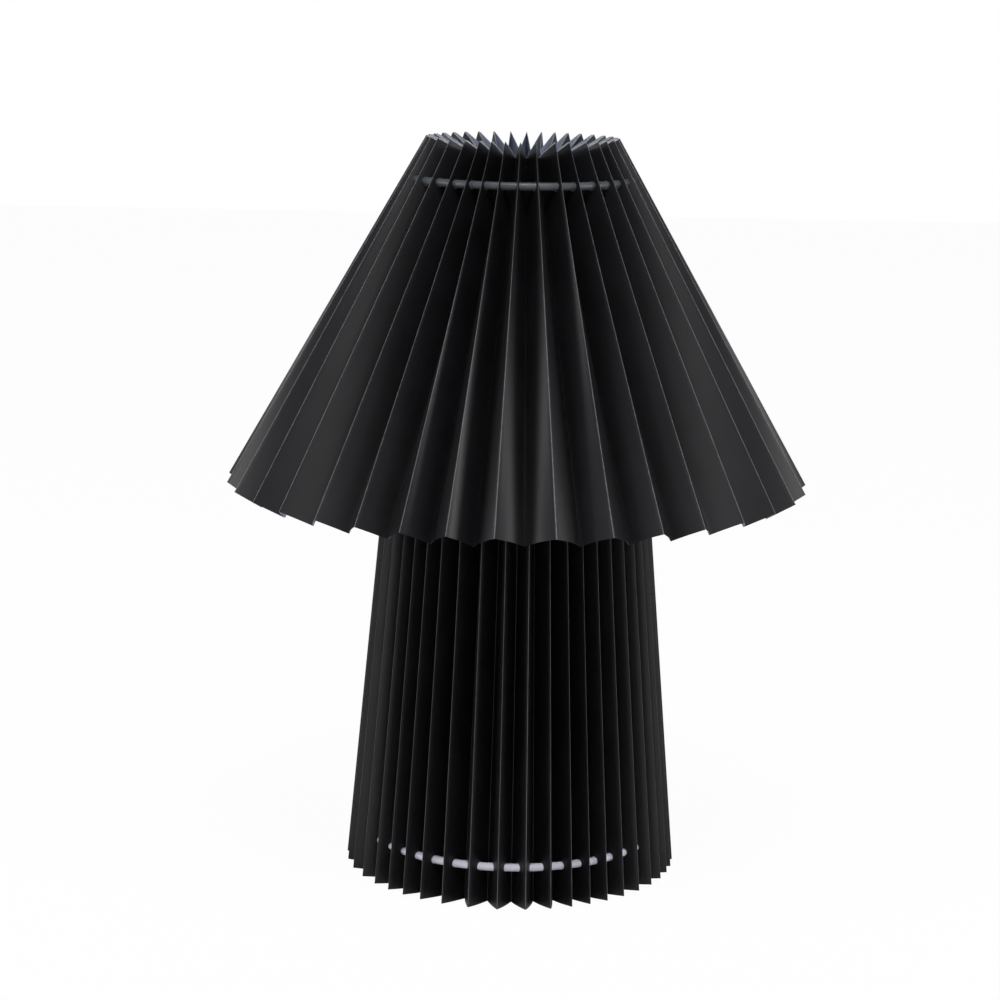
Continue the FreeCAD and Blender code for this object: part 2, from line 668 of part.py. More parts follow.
PARTS = {
    "base_pleats": base_pleats,
    "base_ring": lambda: threaded_ring(BASE, BASE_RING_HEIGHT),
    "base_spider": base_spider,
    "ballast_plate": ballast_plate,
    "rubber_feet": rubber_feet,
    "cord_bush": cord_bush,
    "stem_tube": stem_tube,
    "stem_nuts": stem_nuts,
    "spreader_plate": spreader_plate,
    "holder_cap": holder_cap,
    "holder_shell": holder_shell,
    "contact_block": contact_block,
    "centre_contact": centre_contact,
    "screw_shell": screw_shell,
    "clamp_rings": clamp_rings,
    "shade_carrier": shade_carrier,
    "shade_pleats": lambda: punched_paper(SHADE, SHADE_RING_HEIGHT),
    "shade_ring": lambda: threaded_ring(SHADE, SHADE_RING_HEIGHT),
    "shade_spider": shade_spider,
    "bulb_tip": bulb_tip,
    "bulb_insulator": bulb_insulator,
    "bulb_cap": bulb_cap,
    "bulb_collar": bulb_collar,
    "bulb_globe": bulb_globe,
}

os.makedirs("parts", exist_ok=True)
for name, make in PARTS.items():
    make().exportStep("parts/" + name + ".step")
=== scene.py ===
import logging
import math
import random
from dataclasses import dataclass
from enum import Enum

import bmesh
import bpy
from mathutils import Matrix, Vector


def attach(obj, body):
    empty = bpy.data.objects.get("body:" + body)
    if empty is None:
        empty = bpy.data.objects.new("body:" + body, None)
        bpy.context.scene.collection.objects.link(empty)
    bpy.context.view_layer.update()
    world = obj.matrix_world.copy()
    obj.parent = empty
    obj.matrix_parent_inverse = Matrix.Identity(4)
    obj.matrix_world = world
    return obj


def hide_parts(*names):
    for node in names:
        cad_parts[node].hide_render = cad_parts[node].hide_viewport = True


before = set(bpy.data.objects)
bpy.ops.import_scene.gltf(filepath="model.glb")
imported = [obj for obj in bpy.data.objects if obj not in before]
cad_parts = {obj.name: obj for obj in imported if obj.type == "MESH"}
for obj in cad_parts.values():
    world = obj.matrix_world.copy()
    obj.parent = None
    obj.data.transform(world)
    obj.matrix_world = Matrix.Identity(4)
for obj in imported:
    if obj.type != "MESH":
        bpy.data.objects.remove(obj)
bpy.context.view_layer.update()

LOG = logging.getLogger("lamp")
MM = 0.001
CUT_SLOT = 2                         # material slot of the card's cut edges
MERGE = 0.000002                     # points nearer than this, in metres, are one
KEEN_EDGE = math.radians(40)         # edges keener than this are eased
MIX_FIRST, MIX_SECOND, MIX_RESULT = 6, 7, 2    # colour sockets of a Mix node
RAMP_LOW, RAMP_HIGH = 0.35, 0.7      # noise values where a mottle is darkest and lightest


# ---------------------------------------------------------------- small helpers
def linear(code: str) -> tuple[float, float, float, float]:
    """Turns an sRGB hex colour to linear RGBA.

    Args:
        code: six hex digits, such as "1c1c1e".
    Returns:
        Linear red, green, blue and an alpha of one.
    """
    parts = [int(code[place:place + 2], 16) / 255 for place in (0, 2, 4)]
    red, green, blue = [part / 12.92 if part <= 0.04045 else ((part + 0.055) / 1.055) ** 2.4
                        for part in parts]
    return red, green, blue, 1.0


def polar(radius: float, azimuth: float, height: float) -> Vector:
    """Gives a point about the lamp's axis.

    Args:
        radius: distance from the axis.
        azimuth: degrees from the front (-Y) towards +X.
        height: distance above the table.
    Returns:
        The point, in the units of radius and height.
    """
    angle = math.radians(azimuth)
    return Vector((radius * math.sin(angle), -radius * math.cos(angle), height))


def add_node(tree: bpy.types.NodeTree, kind: str, links: dict | None = None,
             values: dict | None = None, **settings: object) -> bpy.types.Node:
    """Adds a shader node with its settings, values and links.

    Args:
        tree: node tree to add to.
        kind: node type, such as "ShaderNodeTexNoise".
        links: input name to the output socket that feeds it.
        values: input name to its constant value.
        settings: attributes of the node itself.
    Returns:
        The new node.
    """
    node = tree.nodes.new(kind)
    for name, setting in settings.items():
        setattr(node, name, setting)
    for name, value in (values or {}).items():
        node.inputs[name].default_value = value
    for name, socket in (links or {}).items():
        tree.links.new(socket, node.inputs[name])
    return node


def select_only(piece: bpy.types.Object) -> None:
    """Selects one object alone and makes it active.

    Args:
        piece: the object.
    """
    bpy.ops.object.select_all(action="DESELECT")
    piece.select_set(True)
    bpy.context.view_layer.objects.active = piece


def modify(piece: bpy.types.Object, kind: str, **settings: object) -> None:
    """Adds a modifier and applies it.

    Args:
        piece: object to change.
        kind: modifier type, such as "BEVEL".
        settings: attributes of the modifier.
    """
    select_only(piece)
    modifier = piece.modifiers.new(kind.title(), kind)
    for name, setting in settings.items():
        setattr(modifier, name, setting)
    bpy.ops.object.modifier_apply(modifier=modifier.name)


def smooth(piece: bpy.types.Object, degrees: float = 35.0) -> None:
    """Shades a piece smooth, with edges kept sharp above an angle."""
    select_only(piece)
    bpy.ops.object.shade_smooth_by_angle(angle=math.radians(degrees))


def place(piece: bpy.types.Object, body: str, slot: str, materials: list[bpy.types.Material],
          *nodes: str) -> bpy.types.Object:
    """Dresses a finished piece and fastens it to its body.

    Args:
        piece: the finished mesh object.
        body: CAD body that it rides on.
        slot: the record's material slot; not used.
        materials: materials for the mesh, in slot order; none keeps what it has.
        nodes: CAD nodes that the piece stands for.
    Returns:
        The same piece.
    """
    select_only(piece)
    bpy.ops.object.transform_apply(location=True, rotation=True, scale=True)
    if materials:
        piece.data.materials.clear()
        for material in materials:
            piece.data.materials.append(material)
    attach(piece, body)
    if nodes:
        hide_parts(*nodes)
    LOG.info("%s on %s, %d faces", piece.name, body, len(piece.data.polygons))
    return piece


# ---------------------------------------------------------------- finishes
class Weave(Enum):
    """How a surface's fine relief runs."""

    GRAIN = "grain"
    TURNED = "turned"
    NONE = "none"


@dataclass(frozen=True)
class Finish:
    """One surface finish: base colour, shine and a fine relief at a real scale."""

    name: str
    colour: str
    roughness: float
    metallic: float = 0.0
    specular: float = 0.5
    relief: Weave = Weave.GRAIN
    grain_mm: float = 0.4
    bump: float = 0.1
    mottle: float = 0.12
    mottle_mm: float = 9.0
    coat: float = 0.0
    shine_range: float = 0.06
    grain_depth: float = 0.3
    turning_stretch: float = 14.0

    def build(self) -> bpy.types.Material:
        """Makes the node material.

        Returns:
            The material, with a soft colour mottle, a roughness variation and a fine bump.
        """
        if self.name in bpy.data.materials:
            return bpy.data.materials[self.name]
        material = bpy.data.materials.new(self.name)
        material.use_nodes = True
        tree = material.node_tree
        tree.nodes.clear()
        where = add_node(tree, "ShaderNodeTexCoord").outputs["Object"]
        if self.relief is Weave.TURNED:
            stretch = add_node(tree, "ShaderNodeMapping", {"Vector": where},
                               {"Scale": (1.0, 1.0, self.turning_stretch)})
            relief_at = stretch.outputs["Vector"]
        else:
            relief_at = where
        mottle = add_node(tree, "ShaderNodeTexNoise", {"Vector": where},
                          {"Scale": 1 / (self.mottle_mm * MM), "Detail": 4.0, "Roughness": 0.6})
        fine = add_node(tree, "ShaderNodeTexNoise", {"Vector": relief_at},
                        {"Scale": 1 / (self.grain_mm * MM), "Detail": 3.0, "Roughness": 0.55})
        base = linear(self.colour)
        light = tuple(min(1.0, part * (1 + 2 * self.mottle)) for part in base[:3]) + (1.0,)
        dark = tuple(part * (1 - self.mottle) for part in base[:3]) + (1.0,)
        ramp = add_node(tree, "ShaderNodeValToRGB", {"Fac": mottle.outputs["Fac"]})
        ramp.color_ramp.elements[0].position = RAMP_LOW
        ramp.color_ramp.elements[0].color = dark
        ramp.color_ramp.elements[1].position = RAMP_HIGH
        ramp.color_ramp.elements[1].color = light
        shine = add_node(tree, "ShaderNodeMapRange", {"Value": fine.outputs["Fac"]},
                         {"To Min": self.roughness - self.shine_range,
                          "To Max": self.roughness + self.shine_range})
        surface = {"Base Color": ramp.outputs["Color"], "Roughness": shine.outputs["Result"]}
        if self.relief is not Weave.NONE:
            bump = add_node(tree, "ShaderNodeBump", {"Height": fine.outputs["Fac"]},
                            {"Strength": self.bump,
                             "Distance": self.grain_mm * self.grain_depth * MM})
            surface["Normal"] = bump.outputs["Normal"]
        shader = add_node(tree, "ShaderNodeBsdfPrincipled", surface,
                          {"Metallic": self.metallic, "Specular IOR Level": self.specular,
                           "Coat Weight": self.coat})
        add_node(tree, "ShaderNodeOutputMaterial", {"Surface": shader.outputs["BSDF"]})
        return material


# Uncoated white back of the card, dull, with a faint blue brightener, darkened to grey-blue as
# painted shade for the inside of the sleeves.
WHITE_BACK_PAINTED_SHADE = Finish("white_card_back", "9ea6b8", 0.85, specular=0.2, grain_mm=0.3, bump=0.15,
                    mottle=0.05, mottle_mm=14.0)
# Guillotined edge of the card: grey fibres between the black face and the white back.
CUT_EDGE = Finish("cut_card_edge", "8b8c90", 0.9, specular=0.15, grain_mm=0.2, bump=0.3,
                  mottle=0.2, mottle_mm=1.5)
# Spray-painted steel wire: even satin film.
PALE_WIRE = Finish("pale_painted_wire", "c3c2cd", 0.42, specular=0.45, grain_mm=0.6, bump=0.05,
                   mottle=0.05)
DARK_WIRE = Finish("dark_painted_wire", "3c4043", 0.45, specular=0.45, grain_mm=0.6, bump=0.08,
                   mottle=0.12)
# Powder coat on sheet steel: fine orange peel.
WHITE_POWDER = Finish("white_powder_coat", "dcdcd8", 0.5, specular=0.45, grain_mm=0.8, bump=0.12,
                      mottle=0.03)
BLACK_POWDER = Finish("black_powder_coat", "17171a", 0.48, specular=0.45, grain_mm=0.8, bump=0.15,
                      mottle=0.1)
# Sand-cast grey iron under thin paint: a coarse open skin.
SAND_CAST = Finish("painted_sand_casting", "1d1e20", 0.68, specular=0.4, grain_mm=1.2, bump=0.55,
                   mottle=0.25, mottle_mm=6.0)
# Compression-moulded rubber, dusty and dull.
MOULDED_RUBBER = Finish("moulded_rubber", "1b1b1b", 0.88, specular=0.3, grain_mm=0.5, bump=0.2,
                        mottle=0.2, mottle_mm=4.0)
# Injection-moulded thermoplastic with a spark-eroded mould texture.
MOULDED_PLASTIC = Finish("moulded_black_thermoplastic", "161618", 0.52, specular=0.5, grain_mm=0.3,
                         bump=0.15, mottle=0.06)
# Moulded polycarbonate: white, satin and even.
MOULDED_WHITE = Finish("moulded_white_polycarbonate", "e4e3df", 0.4, specular=0.5, grain_mm=0.4,
                       bump=0.05, mottle=0.03)
# Bright zinc plate over drawn tube: fine turning marks and a slight blue passivate.
ZINC_PLATE = Finish("zinc_plated_steel", "a9adb2", 0.34, metallic=1.0, relief=Weave.TURNED,
                    grain_mm=1.2, bump=0.15, mottle=0.1, mottle_mm=5.0)
# Sheet brass, rolled and drawn: warm and bright, with fine lines round it.
ROLLED_BRASS = Finish("rolled_brass_sheet", "b8964a", 0.3, metallic=1.0, relief=Weave.TURNED,
                      grain_mm=1.0, bump=0.1, mottle=0.15, mottle_mm=4.0)
# Sheet aluminium of the bulb's cap: pale and satin.
ROLLED_ALUMINIUM = Finish("rolled_aluminium_sheet", "b9babc", 0.3, metallic=1.0,
                          relief=Weave.TURNED, grain_mm=1.0, bump=0.1, mottle=0.06)
# Pressed steatite: matt cream body.
PRESSED_STEATITE = Finish("pressed_steatite", "d8d3c4", 0.75, specular=0.35, grain_mm=0.4,
                          bump=0.2, mottle=0.06)
# Acid-frosted glass: white and soft, hiding the light source.
FROSTED_GLASS = Finish("acid_frosted_glass", "eceae4", 0.38, specular=0.5, grain_mm=0.3,
                       bump=0.05, mottle=0.02, coat=0.15)
# Glass round the bulb's end contact: black and glossy.
BLACK_GLASS = Finish("black_insulating_glass", "0b0b0d", 0.12, specular=0.5, relief=Weave.NONE,
                     mottle=0.02)


# ---------------------------------------------------------------- folded paper
@dataclass(frozen=True)
class FoldedSleeve:
    """A sleeve of parallel-folded card threaded on a ring, all sizes in millimetres."""

    name: str
    body: str
    pleats: int
    turn: float
    spread: tuple[tuple[int, float, float], ...]
    face: float
    foot_radius: float
    foot: float
    top_radius: float
    top: float
    ring_height: float
    card: float = 0.4
    punch: float = 4.8
    stroke: float = 2.4
    ink: str = "08080a"
    ink_light: str = "0f0f11"
    # colour of the outer folds: partly worn coating, partly a painted highlight
    crease: str = "5a5a5e"
    sheen: float = 0.4
    across: int = 8
    along: int = 28
    fold_round: float = 0.45
    belly: float = 0.3
    front_belly: float = 1.2
    stiff_top: float = 0.8
    leans: tuple[tuple[int, float, float], ...] = ()
    notch: tuple[float, float] = (0.0, 0.0)
    punch_sides: int = 20
    sharpness: int = 6
    bisections: int = 30
    weld: float = 0.01
    sliver: float = 0.005
    crease_angle: float = 60.0
    seed: int = 7

    def fold_azimuth(self, index: int) -> float:
        """Gives the azimuth of an outer fold.

        Args:
            index: number of the outer fold.
        Returns:
            Its azimuth in degrees, even but for the sleeve's drift.
        """
        even = 360.0 * index / self.pleats
        drift = sum(size * math.sin(math.radians(waves * even + phase))
                    for waves, size, phase in self.spread)
        return even + self.turn + drift

    def end_azimuth(self, index: int, at_top: bool) -> float:
        """Gives the azimuth of an outer fold's end, with the lean of a hand-set pleat.

        Args:
            index: number of the outer fold.
            at_top: the upper end, not the foot.
        Returns:
            The azimuth in degrees.
        """
        lean = sum(rim if at_top else hem for fold, rim, hem in self.leans
                   if (index - fold) % self.pleats == 0)
        return self.fold_azimuth(index) + lean

    def frontness(self, index: int) -> float:
        """Gives one for a face that looks to the front, falling to nothing at the sides."""
        facing = math.cos(math.radians(self.fold_azimuth(index // 2)))
        return max(0.0, facing) ** self.sharpness

    def slope(self) -> float:
        """Gives the radius lost for each millimetre of height."""
        return (self.foot_radius - self.top_radius) / (self.top - self.foot)

    def valley_radius(self, ridge: float, half_pitch: float) -> float:
        """Gives an inner fold's radius, from the face's fixed width.

        Args:
            ridge: radius of the outer folds there.
            half_pitch: half the angle between two outer folds, in degrees.
        Returns:
            The inner fold's radius.
        """
        half = math.radians(half_pitch)
        lean = 1 + self.slope() ** 2
        a = math.cos(half) ** 2 * lean + math.sin(half) ** 2
        b = ridge * math.cos(half) * lean
        c = ridge ** 2 * lean - self.face ** 2
        return (b - math.sqrt(b * b - a * c)) / a

    def fold_end(self, index: int, at_top: bool, inside: bool = False) -> Vector:
        """Gives one end of a fold. Even indexes are outer folds, odd ones inner folds.

        Args:
            index: number of the fold round the sleeve.
            at_top: the upper end, not the foot.
            inside: on the card's white side, mitred at the fold.
        Returns:
            The point.
        """
        ridge = self.top_radius if at_top else self.foot_radius
        height = self.top if at_top else self.foot
        odd = index % 2
        left = self.end_azimuth((index - 1) // 2 if odd else index // 2 - 1, at_top)
        right = self.end_azimuth((index + 1) // 2 if odd else index // 2 + 1, at_top)
        half_pitch = (right - left) / (2.0 if odd else 4.0)
        valley = self.valley_radius(ridge, half_pitch)
        half = math.radians(half_pitch)
        opening = math.atan2(valley * math.sin(half), ridge - valley * math.cos(half))
        radius = valley if odd else ridge
        azimuth = (left + right) / 2 if odd else self.end_azimuth(index // 2, at_top)
        height -= (ridge - radius) * self.slope()
        if inside:
            radius -= self.card / math.sin(opening + half if odd else opening)
        return polar(radius, azimuth, height)

    def ring_radius(self) -> float:
        """Gives the radius of the threaded ring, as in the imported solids.

        Returns:
            The radius in millimetres.
        """
        ridge = self.foot_radius - self.slope() * (self.ring_height - self.foot)
        valley = self.valley_radius(ridge, 180.0 / self.pleats)
        return (ridge + valley + self.slope() ** 2 * (ridge - valley)) / 2

    def crossing(self, index: int) -> tuple[Vector, Vector]:
        """Gives where the ring goes through a face, and its direction there.

        Args:
            index: number of the fold before the face.
        Returns:
            The point and a unit vector along the ring.
        """
        ridge = index // 2
        start = polar(self.ring_radius(), self.fold_azimuth(ridge), self.ring_height)
        end = polar(self.ring_radius(), self.fold_azimuth(ridge + 1), self.ring_height)
        along = (end - start).normalized()
        outward = Vector((along.y, -along.x, 0))
        near = (self.fold_end(index, False), self.fold_end(index, True))
        far = (self.fold_end(index + 1, False), self.fold_end(index + 1, True))
        low, high = (0.0, 1.0) if index % 2 == 0 else (1.0, 0.0)
        point = start
        for _ in range(self.bisections):
            middle = (low + high) / 2
            foot = near[0].lerp(far[0], middle)
            top = near[1].lerp(far[1], middle)
            point = foot.lerp(top, (self.ring_height - foot.z) / (top.z - foot.z))
            if (point - start).dot(outward) > 0:
                low = middle
            else:
                high = middle
        return point, along

    def sheet(self) -> bpy.types.Object:
        """Folds a grid into the sleeve: up its black side, over the rim and down its white side.

        Returns:
            The closed sleeve, with a finish slot on each of its sides.
        """
        folds = 2 * self.pleats
        columns = folds * self.across
        rows = 2 * self.along + 2
        bpy.ops.object.select_all(action="DESELECT")
        bpy.ops.mesh.primitive_grid_add(x_subdivisions=columns, y_subdivisions=rows, size=1)
        piece = bpy.context.object
        piece.name = self.name
        draw = random.Random(self.seed)
        bellies = [draw.uniform(0.7, 1.0) * (self.belly + self.front_belly * self.frontness(index))
                   for index in range(folds)]
        ends = {inside: [(self.fold_end(index, False, inside), self.fold_end(index, True, inside))
                         for index in range(folds)] for inside in (False, True)}
        for vertex in piece.data.vertices:
            column = round((vertex.co.x + 0.5) * columns)
            row = round((vertex.co.y + 0.5) * rows) % rows
            inside = row > self.along
            share = (rows - 1 - row if inside else row) / self.along
            index = (column // self.across) % folds
            across = (column % self.across) / self.across
            near, far = ends[inside][index], ends[inside][(index + 1) % folds]
            left = near[0].lerp(near[1], share)
            right = far[0].lerp(far[1], share)
            normal = (right - left).cross(near[1] - near[0]).normalized()
            # the face is held straight at its folds and bellies a little between them
            lift = bellies[index] * math.sin(math.pi * across) * (1.0 - self.stiff_top * share)
            vertex.co = (left.lerp(right, across) + normal * lift) * MM
        for face in piece.data.polygons:
            row = face.index // columns
            edge = row in (self.along, rows - 1)
            face.material_index = CUT_SLOT if edge else int(row > self.along)
        select_only(piece)
        bpy.ops.object.mode_set(mode="EDIT")
        bpy.ops.mesh.select_all(action="SELECT")
        bpy.ops.mesh.remove_doubles(threshold=self.weld * MM)
        bpy.ops.mesh.normals_make_consistent(inside=False)
        bpy.ops.object.mode_set(mode="OBJECT")
        return piece

    def mark_folds(self, piece: bpy.types.Object) -> None:
        """Gives the fold lines the weight that rounds them, and cut edges none.

        Args:
            piece: the punched sleeve.
        """
        mesh = piece.data
        weights = mesh.attributes.new("bevel_weight_edge", "FLOAT", "EDGE")
        shape = bmesh.new()
        shape.from_mesh(mesh)
        for edge in shape.edges:
            slots = {face.material_index for face in edge.link_faces}
            if len(slots) == 1 and CUT_SLOT not in slots:
                if edge.calc_face_angle(0.0) > math.radians(self.crease_angle):
                    weights.data[edge.index].value = 1.0
        shape.free()

    def punches(self, first: int) -> bpy.types.Object:
        """Makes the punch that cuts every second hole of the row at once.

        Args:
            first: number of the first face, 0 or 1.
        Returns:
            One object with a short round bar at each crossing.
        """
        bars = bmesh.new()
        for index in range(first, 2 * self.pleats, 2):
            point, along = self.crossing(index)
            turn = along.to_track_quat("Z", "Y").to_matrix().to_4x4()
            at = Matrix.Translation(point * MM) @ turn
            radius = self.punch / 2 * MM
            bmesh.ops.create_cone(bars, cap_ends=True, segments=self.punch_sides,
                                  radius1=radius, radius2=radius, depth=self.stroke * MM,
                                  matrix=at)
        for face in bars.faces:
            face.material_index = CUT_SLOT
        mesh = bpy.data.meshes.new(self.name + "_punch")
        bars.to_mesh(mesh)
        bars.free()
        tool = bpy.data.objects.new(self.name + "_punch", mesh)
        bpy.context.scene.collection.objects.link(tool)
        return tool

    def cut_notch(self, piece: bpy.types.Object) -> None:
        """Cuts the square notch for the cord out of the rear of the foot.

        Args:
            piece: the punched sleeve.
        """
        width, height = self.notch
        reach = 3.2 * self.face
        bpy.ops.object.select_all(action="DESELECT")
        bpy.ops.mesh.primitive_cube_add(size=1,
                                        location=(0, self.foot_radius * MM, height / 2 * MM),
                                        scale=(width * MM, reach * MM, height * MM))
        block = bpy.context.object
        block.data.materials.append(CUT_EDGE.build())
        modify(piece, "BOOLEAN", operation="DIFFERENCE", object=block, solver="EXACT",
               material_mode="TRANSFER")
        bpy.data.objects.remove(block)

    def build(self) -> bpy.types.Object:
        """Makes the punched sleeve with its creases, white back and cut edges.

        Returns:
            The finished piece.
        """
        piece = self.sheet()
        for material in (folded_card(self), WHITE_BACK_PAINTED_SHADE.build(), CUT_EDGE.build()):
            piece.data.materials.append(material)
        for first in (0, 1):
            tool = self.punches(first)
            modify(piece, "BOOLEAN", operation="DIFFERENCE", object=tool, solver="EXACT")
            bpy.data.objects.remove(tool)
            bpy.ops.object.mode_set(mode="EDIT")
            bpy.ops.mesh.select_all(action="SELECT")
            bpy.ops.mesh.dissolve_degenerate(threshold=self.sliver * MM)
            bpy.ops.object.mode_set(mode="OBJECT")
        if self.notch[0]:
            self.cut_notch(piece)
        self.mark_folds(piece)
        modify(piece, "BEVEL", width=self.fold_round * MM, segments=3, limit_method="WEIGHT",
               use_clamp_overlap=True)
        smooth(piece, 30.0)
        return piece


# Patterns of the coated card, in repeats for each metre.
WEAR_PER_METRE = 320.0               # cracks along a crease, about 3 mm apart
CLOUD_PER_METRE = 45.0               # clouds of the coating, about 22 mm across
FIBRE_PER_METRE = 2600.0             # fibres under the coating, about 0.4 mm apart
FIBRE_DEPTH = 0.00006


def folded_card(sleeve: FoldedSleeve) -> bpy.types.Material:
    """Makes the black coated card, lighter along its outer folds: partly worn and cracked coating,
    partly a painted highlight.

    Args:
        sleeve: the sleeve whose sheet coordinates the material follows.
    Returns:
        The material.
    """
    material = bpy.data.materials.new(sleeve.name + "_black_coating")
    material.use_nodes = True
    tree = material.node_tree
    tree.nodes.clear()
    sheet = add_node(tree, "ShaderNodeUVMap", uv_map="UVMap")
    parts = add_node(tree, "ShaderNodeSeparateXYZ", {"Vector": sheet.outputs["UV"]})
    # faces are counted along the sheet, so whole numbers lie on the folds
    count = add_node(tree, "ShaderNodeMath", {0: parts.outputs["X"]}, {1: 2.0 * sleeve.pleats},
                     operation="MULTIPLY")
    away = add_node(tree, "ShaderNodeMath", {0: count.outputs["Value"]}, {1: 0.5},
                    operation="PINGPONG")
    distance = add_node(tree, "ShaderNodeMath", {0: away.outputs["Value"]}, {1: sleeve.face},
                        operation="MULTIPLY")
    half = add_node(tree, "ShaderNodeMath", {0: count.outputs["Value"]}, {1: 1.0},
                    operation="PINGPONG")
    outer = add_node(tree, "ShaderNodeMath", {0: half.outputs["Value"]}, {1: 0.5},
                     operation="LESS_THAN")
    where = add_node(tree, "ShaderNodeTexCoord").outputs["Object"]
    wear = add_node(tree, "ShaderNodeTexNoise", {"Vector": where},
                    {"Scale": WEAR_PER_METRE, "Detail": 4.0, "Roughness": 0.7})
    width = add_node(tree, "ShaderNodeMapRange", {"Value": wear.outputs["Fac"]},
                     {"From Min": 0.3, "From Max": 0.7, "To Min": 0.25, "To Max": 0.75})
    crease = add_node(tree, "ShaderNodeMapRange", {"Value": distance.outputs["Value"],
                                                    "From Max": width.outputs["Result"]},
                      {"From Min": 0.1, "To Min": 1.0, "To Max": 0.0},
                      interpolation_type="SMOOTHSTEP")
    # lighter band on each outer fold: partly wear of the coating, partly a painted highlight
    wear_and_highlight = add_node(tree, "ShaderNodeMath", {0: crease.outputs["Result"],
                                             1: outer.outputs["Value"]}, operation="MULTIPLY")
    cloud = add_node(tree, "ShaderNodeTexNoise", {"Vector": where},
                     {"Scale": CLOUD_PER_METRE, "Detail": 5.0, "Roughness": 0.6})
    face = add_node(tree, "ShaderNodeValToRGB", {"Fac": cloud.outputs["Fac"]})
    face.color_ramp.elements[0].position = RAMP_LOW
    face.color_ramp.elements[0].color = linear(sleeve.ink)
    face.color_ramp.elements[1].position = RAMP_HIGH
    face.color_ramp.elements[1].color = linear(sleeve.ink_light)
    tint = add_node(tree, "ShaderNodeMix", {"Factor": wear_and_highlight.outputs["Value"],
                                            MIX_FIRST: face.outputs["Color"]},
                    {MIX_SECOND: linear(sleeve.crease)}, data_type="RGBA")
    fibre = add_node(tree, "ShaderNodeTexNoise", {"Vector": where},
                     {"Scale": FIBRE_PER_METRE, "Detail": 3.0, "Roughness": 0.6})
    bump = add_node(tree, "ShaderNodeBump", {"Height": fibre.outputs["Fac"]},
                    {"Strength": 0.15, "Distance": FIBRE_DEPTH})
    shader = add_node(tree, "ShaderNodeBsdfPrincipled",
                      {"Base Color": tint.outputs[MIX_RESULT], "Normal": bump.outputs["Normal"]},
                      {"Roughness": sleeve.sheen, "Specular IOR Level": 0.4})
    add_node(tree, "ShaderNodeOutputMaterial", {"Surface": shader.outputs["BSDF"]})
    return material


BASE_SLEEVE = FoldedSleeve(
    name="base_card", body="stand", pleats=45, turn=2.3,
    spread=((2, 2.3, 74.0), (4, 1.1, -3.0), (6, 1.3, 74.0)), face=17.1,
    foot_radius=87.2, foot=2.2, top_radius=64.5, top=257.0, ring_height=21.2,
    across=6, along=16, fold_round=0.7, belly=0.2, front_belly=0.5,
    stiff_top=0.3, notch=(15.2, 15.0), seed=3)
SHADE_SLEEVE = FoldedSleeve(
    name="shade_card", body="shade", pleats=36, turn=-0.9,
    spread=((2, 1.35, -169.0), (4, 0.75, -94.0), (6, 0.55, -57.0)), face=18.0,
    foot_radius=150.0, foot=206.22, top_radius=49.1, top=382.6, ring_height=361.7,
    across=8, along=28, seed=5,
    leans=((-5, 1.6, -1.0), (-4, 3.0, -1.4), (-3, 3.2, -1.5), (-2, 2.0, -0.9), (-1, 1.4, -0.8),
           (0, 1.0, -1.4), (1, -0.2, -0.5), (2, 0.8, -0.5), (3, -0.8, -0.9), (4, 1.3, -1.4),
           (5, 1.5, -0.9)))


# ---------------------------------------------------------------- rings
@dataclass(frozen=True)
class ThreadedRing:
    """Round wire ring through a sleeve's holes, with its ends butted at the rear fold."""

    node: str
    body: str
    sleeve: FoldedSleeve
    finish: Finish
    wire: float = 4.0
    joint: float = 0.6
    sides: int = 16
    steps: int = 180
    clearance: float = 0.08
    end_edge: float = 0.3

    def build(self) -> bpy.types.Object:
        """Bends a round wire end by spinning it round the axis.

        Returns:
            The finished ring.
        """
        radius = self.sleeve.ring_radius() - self.clearance
        height = self.sleeve.ring_height * MM
        rear = min(range(self.sleeve.pleats), key=self.away_from_rear)
        gap = self.joint / radius
        start = math.radians(self.sleeve.fold_azimuth(rear)) + gap / 2
        bpy.ops.object.select_all(action="DESELECT")
        bpy.ops.mesh.primitive_circle_add(vertices=self.sides, radius=self.wire / 2 * MM,
                                          fill_type="NGON", rotation=(math.pi / 2, 0, 0),
                                          location=(radius * MM, 0, height))
        piece = bpy.context.object
        piece.name = self.node + "_wire"
        select_only(piece)
        bpy.ops.object.transform_apply(location=True, rotation=True, scale=True)
        bpy.ops.object.mode_set(mode="EDIT")
        bpy.ops.mesh.select_all(action="SELECT")
        bpy.ops.transform.rotate(value=-(start - math.pi / 2), orient_axis="Z",
                                 center_override=(0, 0, height))
        bpy.ops.mesh.spin(steps=self.steps, angle=2 * math.pi - gap, center=(0, 0, height),
                          axis=(0, 0, 1))
        bpy.ops.mesh.select_all(action="SELECT")
        bpy.ops.mesh.normals_make_consistent(inside=False)
        bpy.ops.object.mode_set(mode="OBJECT")
        modify(piece, "BEVEL", width=self.end_edge * MM, segments=2, limit_method="ANGLE",
               angle_limit=math.radians(60))
        smooth(piece)
        return place(piece, self.body, self.node, [self.finish.build()], self.node)

    def away_from_rear(self, index: int) -> float:
        """Gives how far an outer fold lies from the rear, in degrees."""
        return abs(self.sleeve.fold_azimuth(index) % 360.0 - 180.0)


